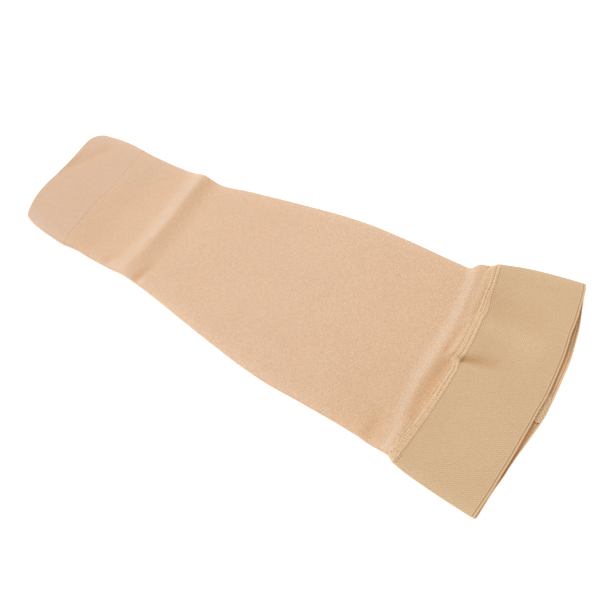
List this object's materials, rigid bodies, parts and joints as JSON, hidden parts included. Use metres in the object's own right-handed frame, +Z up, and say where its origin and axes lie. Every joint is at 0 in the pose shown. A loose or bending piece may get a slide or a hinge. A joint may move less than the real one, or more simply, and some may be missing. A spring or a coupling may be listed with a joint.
{
  "type": "compression arm sleeve",
  "caption": "Elastic arm sleeve lying flat: tapered seamless knit tube with a doubled wrist welt and a wide woven elastic band at the upper arm.",
  "frame": {"origin": "on the table, below the middle of the sleeve's box", "axes": "+X along the sleeve from the wrist to the upper-arm mouth, +Y across it, +Z up from the table"},
  "size_m": [0.3186, 0.1594, 0.0066],
  "materials": {
    "knit": "fine matt elastic knit, beige",
    "welt_knit": "doubled fine knit, slightly lighter beige",
    "webbing": "woven elastic webbing with a dotted weave, warm beige",
    "webbing_join": "overlapped webbing end sewn with a zigzag, light beige"
  },
  "bodies": {
    "root": {"arm_tube": "knit", "wrist_welt": "welt_knit", "top_band": "webbing", "band_join": "webbing_join"}
  },
  "joints": []
}
